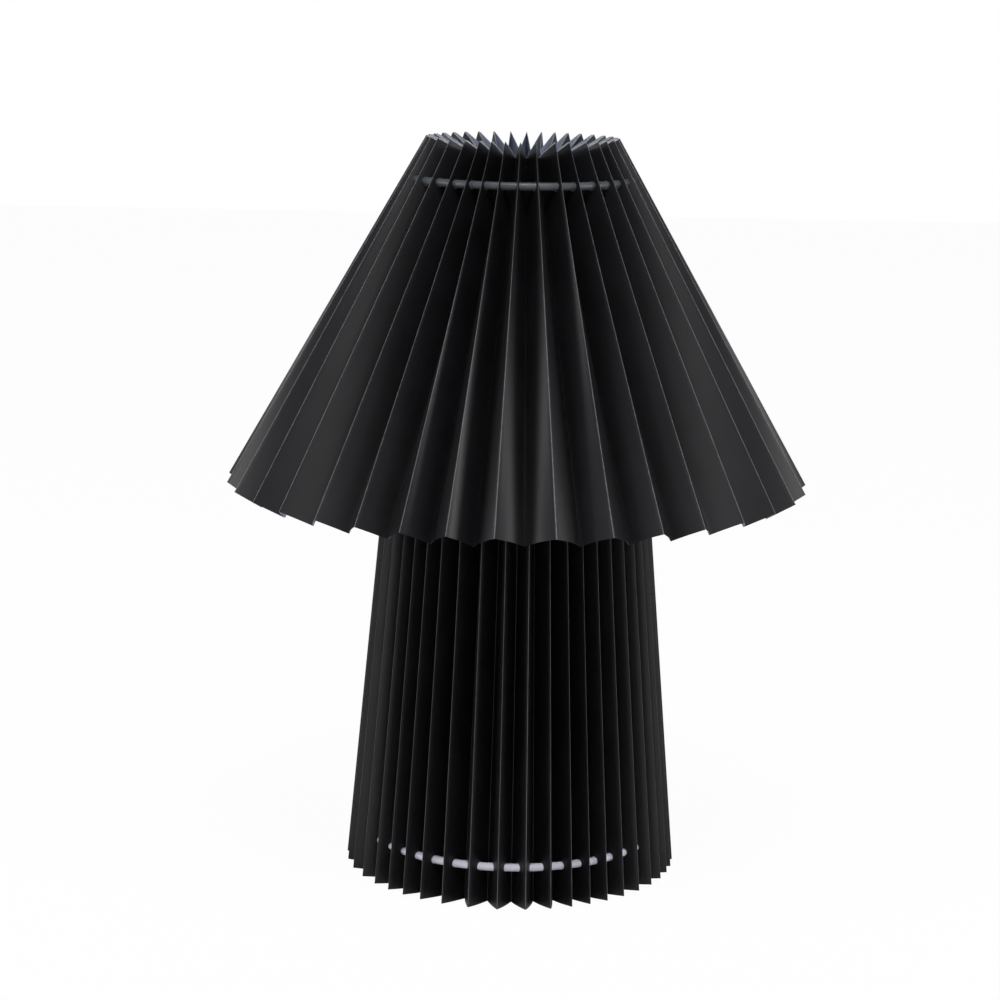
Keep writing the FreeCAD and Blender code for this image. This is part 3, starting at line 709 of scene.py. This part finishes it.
# ---------------------------------------------------------------- turned and cut pieces
@dataclass(frozen=True)
class Turned:
    """Round piece on the lamp's axis, from (radius, height) steps in millimetres."""

    name: str
    body: str
    node: str
    finish: Finish
    steps: tuple[tuple[float, float], ...]
    bored: bool = False
    sides: int = 96
    edge: float = 0.25
    grips: int = 0
    grip_depth: float = 0.6
    wall_slack: float = 0.05
    keep: float = 35.0

    def blank(self) -> bpy.types.Object:
        """Draws the piece up from its first circle, step by step.

        Returns:
            The sharp-edged piece.
        """
        radius, height = self.steps[0]
        bpy.ops.object.select_all(action="DESELECT")
        bpy.ops.mesh.primitive_circle_add(vertices=self.sides, radius=radius * MM,
                                          fill_type="NOTHING" if self.bored else "NGON",
                                          location=(0, 0, height * MM))
        piece = bpy.context.object
        piece.name = self.name
        select_only(piece)
        bpy.ops.object.transform_apply(location=True, rotation=True, scale=True)
        bpy.ops.object.mode_set(mode="EDIT")
        bpy.ops.mesh.select_all(action="SELECT")
        for wide, high in self.steps[1:]:
            bpy.ops.mesh.extrude_region_move(
                TRANSFORM_OT_translate={"value": (0, 0, (high - height) * MM)})
            share = wide / radius
            bpy.ops.transform.resize(value=(share, share, 1.0),
                                     center_override=(0, 0, high * MM))
            radius, height = wide, high
        bpy.ops.mesh.select_all(action="SELECT")
        bpy.ops.mesh.remove_doubles(threshold=MERGE)
        bpy.ops.mesh.normals_make_consistent(inside=False)
        bpy.ops.object.mode_set(mode="OBJECT")
        return piece

    def cut_grips(self, piece: bpy.types.Object) -> None:
        """Sinks finger grooves round the widest wall.

        Args:
            piece: the sharp-edged piece.
        """
        widest = max(radius for radius, _ in self.steps) * MM
        each = self.sides // self.grips
        for vertex in piece.data.vertices:
            radius = math.hypot(vertex.co.x, vertex.co.y)
            turn = round(math.atan2(vertex.co.y, vertex.co.x) / (2 * math.pi) * self.sides)
            if radius > widest - self.wall_slack * MM and turn % each < each // 2:
                share = 1 - self.grip_depth * MM / radius
                vertex.co.x *= share
                vertex.co.y *= share

    def build(self) -> bpy.types.Object:
        """Makes the piece and eases its edges.

        Returns:
            The finished piece.
        """
        piece = self.blank()
        if self.grips:
            self.cut_grips(piece)
        if self.edge:
            modify(piece, "BEVEL", width=self.edge * MM, segments=2, limit_method="ANGLE",
                   angle_limit=KEEN_EDGE, use_clamp_overlap=True)
        smooth(piece, self.keep)
        return place(piece, self.body, self.node, [self.finish.build()], self.node)


@dataclass(frozen=True)
class Eased:
    """Cut or cast piece that keeps its solid's shape, with eased edges."""

    name: str
    body: str
    node: str
    finish: Finish
    edge: float = 0.2
    segments: int = 2
    flat: float = 0.5

    def build(self) -> bpy.types.Object:
        """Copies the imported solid, cleans it and rounds its edges.

        Returns:
            The finished piece.
        """
        piece = bpy.data.objects.new(self.name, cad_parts[self.node].data.copy())
        bpy.context.scene.collection.objects.link(piece)
        select_only(piece)
        bpy.ops.object.mode_set(mode="EDIT")
        bpy.ops.mesh.select_all(action="SELECT")
        bpy.ops.mesh.remove_doubles(threshold=MERGE)
        bpy.ops.mesh.dissolve_limited(angle_limit=math.radians(self.flat))
        bpy.ops.mesh.select_all(action="SELECT")
        bpy.ops.mesh.normals_make_consistent(inside=False)
        bpy.ops.object.mode_set(mode="OBJECT")
        modify(piece, "BEVEL", width=self.edge * MM, segments=self.segments,
               limit_method="ANGLE", angle_limit=KEEN_EDGE, use_clamp_overlap=True)
        smooth(piece)
        return place(piece, self.body, self.node, [self.finish.build()], self.node)


def waves(low: float, foot: float, top: float, pitch: float, rise: float,
          share: int = 8) -> tuple[tuple[float, float], ...]:
    """Draws the rolled thread of a cap or a shell as a wavy wall.

    Args:
        low: least radius.
        foot: height where the waves begin.
        top: height where they end.
        pitch: height of one wave.
        rise: how far the crests stand out.
        share: steps for each wave.
    Returns:
        Radius and height of each step.
    """
    count = int((top - foot) / pitch * share)
    return tuple((low + rise * (0.5 - 0.5 * math.cos(2 * math.pi * step / share)),
                  foot + pitch * step / share) for step in range(count + 1))


def globe(radius: float, middle: float, foot: float,
          steps: int = 24) -> tuple[tuple[float, float], ...]:
    """Draws the bulb's glass from its seat over the top.

    Args:
        radius: radius of the glass.
        middle: height of its middle.
        foot: height of its lower edge.
        steps: steps of the arc.
    Returns:
        Radius and height of each step.
    """
    start = math.asin((foot - middle) / radius)
    end = math.pi / 2 - 0.02      # short of the pole, which the last circle closes
    turns = [start + (end - start) * step / steps for step in range(steps + 1)]
    return tuple((radius * math.cos(turn), middle + radius * math.sin(turn)) for turn in turns)


# ---------------------------------------------------------------- studio
@dataclass(frozen=True)
class Studio:
    """Camera, lights and pale floor. The camera stands where the photographer's did."""

    distance: float = 1.3077
    height: float = 0.4558
    pitch: float = 11.29
    focal_pixels: float = 2559.0
    roll: float = 1.0
    axis_pixel: float = 516.5
    sensor: float = 36.0
    picture: float = 1000.0
    floor_size: float = 8.0
    floor_white: float = 0.97
    aim_height: float = 0.2
    ambient: float = 0.35
    lamps: tuple[tuple[str, tuple[float, float, float], float, float], ...] = (
        ("overhead_front", (0.05, -1.0, 2.1), 0.6, 30.0),
        ("camera_side", (0.1, -2.4, 0.6), 1.0, 7.0),
        ("left_strip", (-2.0, -0.55, 0.6), 0.6, 16.0),
        ("right_strip", (2.0, -0.55, 0.6), 0.6, 16.0))

    def camera(self) -> None:
        """Adds the camera at the photograph's viewing angle."""
        data = bpy.data.cameras.new("camera")
        data.sensor_width = self.sensor
        data.lens = self.focal_pixels / self.picture * self.sensor
        data.clip_end = 20
        eye = bpy.data.objects.new("camera", data)
        bpy.context.scene.collection.objects.link(eye)
        pan = math.atan((self.axis_pixel - self.picture / 2) / self.focal_pixels)
        pitch = math.radians(self.pitch)
        forward = Vector((-math.sin(pan) * math.cos(pitch), math.cos(pan) * math.cos(pitch),
                          -math.sin(pitch)))
        right = forward.cross(Vector((0, 0, 1))).normalized()
        upward = right.cross(forward)
        roll = math.radians(self.roll)
        side = right * math.cos(roll) + upward * math.sin(roll)
        head = upward * math.cos(roll) - right * math.sin(roll)
        turn = Matrix((side, head, -forward)).transposed().to_4x4()
        eye.matrix_world = Matrix.Translation((0, -self.distance, self.height)) @ turn
        bpy.context.scene.camera = eye

    def lamp(self, name: str, place_at: tuple[float, float, float], size: float,
             power: float) -> None:
        """Adds a square soft light that looks at the lamp's middle.

        Args:
            name: name of the light.
            place_at: where it stands, in metres.
            size: its side in metres.
            power: its power in watts.
        """
        data = bpy.data.lights.new(name, "AREA")
        data.shape = "SQUARE"
        data.size = size
        data.energy = power
        light = bpy.data.objects.new(name, data)
        bpy.context.scene.collection.objects.link(light)
        aim = Vector((0, 0, self.aim_height)) - Vector(place_at)
        light.matrix_world = (Matrix.Translation(place_at)
                              @ aim.to_track_quat("-Z", "Y").to_matrix().to_4x4())

    def backdrop(self) -> None:
        """Adds the pale floor and the white surround."""
        bpy.ops.object.select_all(action="DESELECT")
        bpy.ops.mesh.primitive_plane_add(size=self.floor_size, location=(0, 0, 0))
        floor = bpy.context.object
        floor.name = "floor"
        material = bpy.data.materials.new("pale_floor")
        material.use_nodes = True
        tree = material.node_tree
        tree.nodes.clear()
        matt = add_node(tree, "ShaderNodeBsdfDiffuse", values={"Color": linear("e8e8e8")})
        white = add_node(tree, "ShaderNodeEmission", values={"Color": (1, 1, 1, 1),
                                                              "Strength": 1.0})
        ray = add_node(tree, "ShaderNodeLightPath")
        share = add_node(tree, "ShaderNodeMath", {0: ray.outputs["Is Camera Ray"]},
                         {1: self.floor_white}, operation="MULTIPLY")
        mix = add_node(tree, "ShaderNodeMixShader", {"Fac": share.outputs["Value"],
                                                      1: matt.outputs["BSDF"],
                                                      2: white.outputs["Emission"]})
        add_node(tree, "ShaderNodeOutputMaterial", {"Surface": mix.outputs["Shader"]})
        floor.data.materials.append(material)
        world = bpy.data.worlds.new("studio")
        bpy.context.scene.world = world
        world.use_nodes = True
        tree = world.node_tree
        tree.nodes.clear()
        ray = add_node(tree, "ShaderNodeLightPath")
        seen = add_node(tree, "ShaderNodeMath", {0: ray.outputs["Is Camera Ray"],
                                                 1: ray.outputs["Is Transmission Ray"]},
                        operation="MAXIMUM")
        soft = add_node(tree, "ShaderNodeBackground", values={"Color": linear("f4f6ff"),
                                                               "Strength": self.ambient})
        plain = add_node(tree, "ShaderNodeBackground", values={"Color": (1, 1, 1, 1),
                                                                "Strength": 1.0})
        mix = add_node(tree, "ShaderNodeMixShader", {"Fac": seen.outputs["Value"],
                                                      1: soft.outputs["Background"],
                                                      2: plain.outputs["Background"]})
        add_node(tree, "ShaderNodeOutputWorld", {"Surface": mix.outputs["Shader"]})

    def build(self) -> None:
        """Sets up the whole studio."""
        self.camera()
        for lamp in self.lamps:
            self.lamp(*lamp)
        self.backdrop()
        bpy.context.scene.view_settings.view_transform = "Standard"


# ---------------------------------------------------------------- the lamp's pieces
SHADE_BODY = "shade"
BULB_BODY = "bulb"
STAND = "stand"

INNER_PIECES = (
    Eased("arm_spider_of_the_base", STAND, "base_spider", BLACK_POWDER),
    Eased("cast_ballast_disc", STAND, "ballast_plate", SAND_CAST, edge=0.9, segments=3),
    Eased("rubber_pads", STAND, "rubber_feet", MOULDED_RUBBER, edge=0.5),
    Eased("flanged_cord_bush", STAND, "cord_bush", MOULDED_PLASTIC, edge=0.25),
    Eased("all_thread_stem", STAND, "stem_tube", ZINC_PLATE, edge=0.3),
    Eased("hexagon_nuts", STAND, "stem_nuts", ZINC_PLATE, edge=0.3),
    Eased("pierced_spreader", STAND, "spreader_plate", WHITE_POWDER, edge=0.2),
    Eased("ceramic_contact_carrier", STAND, "contact_block", PRESSED_STEATITE, edge=0.6),
    Eased("sprung_contact_strip", STAND, "centre_contact", ROLLED_BRASS, edge=0.08),
    Eased("three_rail_carrier", STAND, "shade_carrier", WHITE_POWDER, edge=0.25),
    Eased("slotted_fitter_with_arms", SHADE_BODY, "shade_spider", WHITE_POWDER, edge=0.15),
    Turned("holder_lower_half", STAND, "holder_cap", MOULDED_PLASTIC,
           ((5.1, 198.0), (8.0, 198.0), (8.0, 203.0), (19.8, 212.0), (19.8, 216.6), (19.2, 217.0),
            (19.2, 217.6), (19.8, 218.0), (5.1, 218.0), (5.1, 198.0)), bored=True),
    Turned("holder_skirt", STAND, "holder_shell", MOULDED_PLASTIC,
           ((15.35, 218.0), (19.8, 218.0), (19.8, 232.0), *waves(19.25, 232.4, 254.0, 2.4, 0.6, 6),
            (19.2, 256.0), (15.35, 256.0), (15.35, 218.0)), bored=True, edge=0.0),
    Turned("holder_screw_sleeve", STAND, "screw_shell", ROLLED_BRASS,
           ((15.2, 234.0), (15.2, 253.0), (14.85, 253.0), (14.85, 234.0), (15.2, 234.0)),
           bored=True, edge=0.08),
    Turned("bulb_end_contact", "bulb_contact", "bulb_tip", ROLLED_ALUMINIUM,
           ((2.4, 230.0), (4.0, 230.3), (4.4, 231.0), (4.4, 231.5)), edge=0.1),
    Turned("bulb_glass_insulator", BULB_BODY, "bulb_insulator", BLACK_GLASS,
           ((4.5, 231.5), (9.9, 234.5)), edge=0.1),
    Turned("bulb_screw_cap", BULB_BODY, "bulb_cap", ROLLED_ALUMINIUM,
           ((10.0, 234.5), *waves(11.9, 235.6, 252.0, 3.63, 1.15), (12.6, 253.6), (12.9, 254.2),
            (12.9, 256.5)), edge=0.0),
    Turned("bulb_housing", BULB_BODY, "bulb_collar", MOULDED_WHITE,
           ((14.0, 256.5), (14.5, 257.2), (17.4, 266.0), (21.4, 278.0), (25.2, 289.0),
            (25.9, 290.5)), edge=0.2),
    Turned("bulb_frosted_glass", BULB_BODY, "bulb_globe", FROSTED_GLASS,
           globe(29.9, 306.0, 290.5), edge=0.0, keep=60.0),
)


@dataclass(frozen=True)
class ClampRings:
    """The two finger-tight rings on the lamp holder's thread, one node."""

    node: str = "clamp_rings"
    feet: tuple[float, ...] = (233.0, 241.0)
    height: float = 5.0
    inner: float = 20.0
    outer: float = 24.4
    bevel_in: float = 0.8
    bevel_up: float = 0.6
    edge: float = 0.15

    def build(self) -> bpy.types.Object:
        """Makes both rings and joins them.

        Returns:
            The finished rings.
        """
        rings = []
        for foot in self.feet:
            top = foot + self.height
            blank = Turned("clamp_ring", STAND, self.node, MOULDED_PLASTIC,
                           ((self.inner, foot), (self.outer - self.bevel_in, foot),
                            (self.outer, foot + self.bevel_up),
                            (self.outer, top - self.bevel_up),
                            (self.outer - self.bevel_in, top), (self.inner, top),
                            (self.inner, foot)),
                           bored=True, sides=144, grips=36)
            piece = blank.blank()
            blank.cut_grips(piece)
            modify(piece, "BEVEL", width=self.edge * MM, segments=2, limit_method="ANGLE",
                   angle_limit=KEEN_EDGE)
            rings.append(piece)
        bpy.ops.object.select_all(action="DESELECT")
        for piece in rings:
            piece.select_set(True)
        bpy.context.view_layer.objects.active = rings[0]
        bpy.ops.object.join()
        smooth(rings[0])
        rings[0].name = "finger_tight_clamp_rings"
        return place(rings[0], STAND, self.node, [MOULDED_PLASTIC.build()], self.node)


def main() -> None:
    """Builds the studio and every piece of the lamp, in order."""
    logging.basicConfig(level=logging.INFO, format="%(name)s: %(message)s")
    Studio().build()
    place(BASE_SLEEVE.build(), STAND, "base_pleats", [], "base_pleats")
    place(SHADE_SLEEVE.build(), SHADE_BODY, "shade_pleats", [], "shade_pleats")
    ThreadedRing("base_ring", STAND, BASE_SLEEVE, PALE_WIRE).build()
    ThreadedRing("shade_ring", SHADE_BODY, SHADE_SLEEVE, DARK_WIRE).build()
    ClampRings().build()
    for piece in INNER_PIECES:
        piece.build()


if __name__ == "__main__":
    main()
